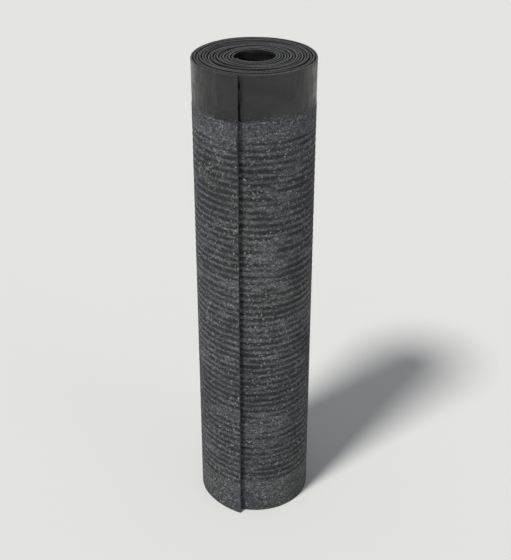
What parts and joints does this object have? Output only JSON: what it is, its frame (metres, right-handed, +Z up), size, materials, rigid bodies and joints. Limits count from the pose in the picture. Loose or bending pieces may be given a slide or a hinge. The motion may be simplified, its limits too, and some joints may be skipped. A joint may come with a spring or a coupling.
{
  "type": "roll of mineral-faced roofing felt",
  "caption": "Closed roll of dark, ribbed, mineral-faced bitumen roofing felt, standing on one end, with a bare lap strip round its top and a hollow middle.",
  "frame": {"origin": "on the bore's axis, in the plane of the mineral end, which stands on the floor", "axes": "+Z up the roll, along the bore's axis, from the mineral end to the bare end; -Y towards the side where the sheet's loose end is, which points to -Y and a little to -X"},
  "size_m": [0.2389, 0.2461, 1],
  "materials": {
    "mineral_felt": "matt dark grey mineral granules pressed into bitumen, with lengthwise ribs"
  },
  "bodies": {
    "root": {"felt_roll": "mineral_felt"}
  },
  "joints": []
}
